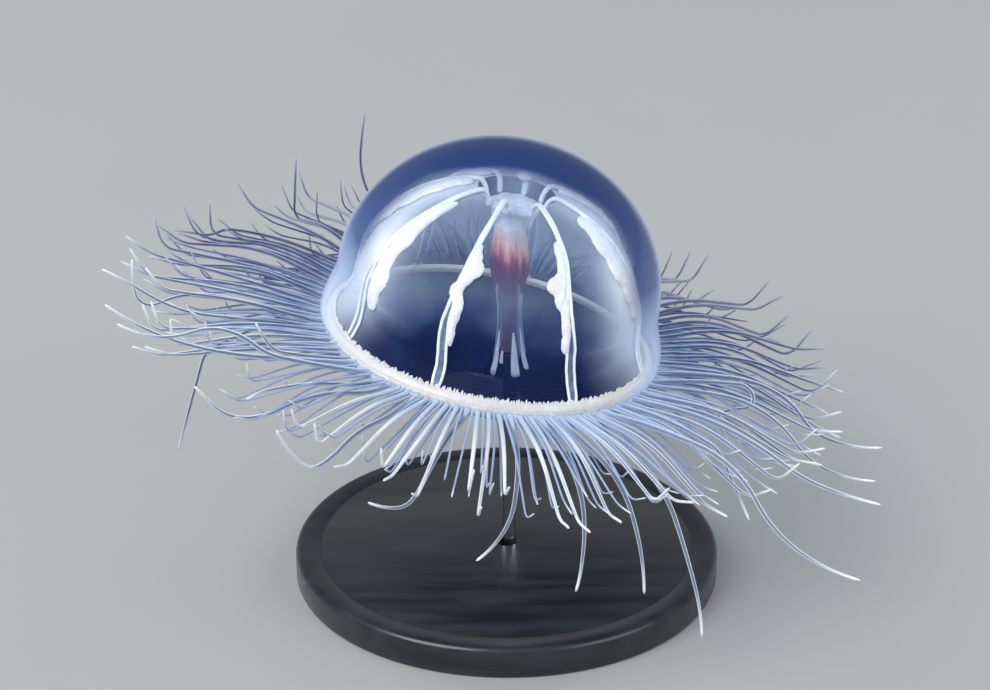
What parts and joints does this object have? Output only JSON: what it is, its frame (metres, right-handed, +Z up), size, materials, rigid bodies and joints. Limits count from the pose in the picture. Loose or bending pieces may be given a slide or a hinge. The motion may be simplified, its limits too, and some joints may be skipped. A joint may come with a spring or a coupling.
{
  "type": "jellyfish",
  "caption": "Life-size clear deep-sea jellyfish: domed bell with radial canals and gonads, hanging stomach and a fringe of long fine tentacles, on a round base with a thin rod.",
  "frame": {"origin": "centre of the underside of the stand's round base", "axes": "+Z up, -Y towards the viewer, +X to the animal's lower, right-hand side as the viewer sees it"},
  "size_m": [0.0705, 0.0704, 0.0431],
  "materials": {
    "jelly": "clear blue jelly, glossy",
    "veil": "thin deep blue veil, satin",
    "canal": "milky, soft gloss",
    "gonad": "opaque white, satin",
    "tentacle": "pale steel blue, soft gloss",
    "peduncle": "milky, soft gloss",
    "stomach": "salmon to crimson, soft gloss",
    "mouth_tube": "dark reddish purple, soft gloss",
    "lips": "greyish white, soft gloss",
    "stand_base": "black, satin",
    "stand_rod": "clear acrylic, polished"
  },
  "bodies": {
    "root": {"bell": "jelly", "canal_1": "canal", "canal_2": "canal", "canal_3": "canal", "canal_4": "canal", "canal_5": "canal", "canal_6": "canal", "canal_7": "canal", "canal_8": "canal", "gonad_1": "gonad", "gonad_2": "gonad", "gonad_3": "gonad", "gonad_4": "gonad", "gonad_5": "gonad", "gonad_6": "gonad", "gonad_7": "gonad", "gonad_8": "gonad", "lip_1": "lips", "lip_2": "lips", "lip_3": "lips", "lip_4": "lips", "margin_1": "tentacle", "margin_2": "tentacle", "margin_3": "tentacle", "margin_4": "tentacle", "margin_5": "tentacle", "margin_6": "tentacle", "margin_7": "tentacle", "margin_8": "tentacle", "mouth_tube": "mouth_tube", "peduncle": "peduncle", "stand_base": "stand_base", "stand_rod": "stand_rod", "stomach": "stomach", "tentacle_front_hook_lower": "tentacle", "tentacle_front_hook_upper": "tentacle", "tentacle_hanging_front_lower": "tentacle", "tentacle_hanging_front_upper": "tentacle", "tentacle_hanging_left_lower": "tentacle", "tentacle_hanging_left_upper": "tentacle", "tentacle_hanging_middle_lower": "tentacle", "tentacle_hanging_middle_upper": "tentacle", "tentacle_hanging_right_lower": "tentacle", "tentacle_hanging_right_upper": "tentacle", "tentacle_left_hook_lower": "tentacle", "tentacle_left_hook_upper": "tentacle", "tentacle_left_rise_lower": "tentacle", "tentacle_left_rise_upper": "tentacle", "tentacle_left_swan_lower": "tentacle", "tentacle_left_swan_upper": "tentacle", "tentacle_left_wave_lower": "tentacle", "tentacle_left_wave_upper": "tentacle", "tentacle_right_level_lower": "tentacle", "tentacle_right_level_upper": "tentacle", "tentacle_right_swan_lower": "tentacle", "tentacle_right_swan_upper": "tentacle", "tentacle_right_sweep_lower": "tentacle", "tentacle_right_sweep_upper": "tentacle", "velum": "veil"}
  },
  "joints": []
}
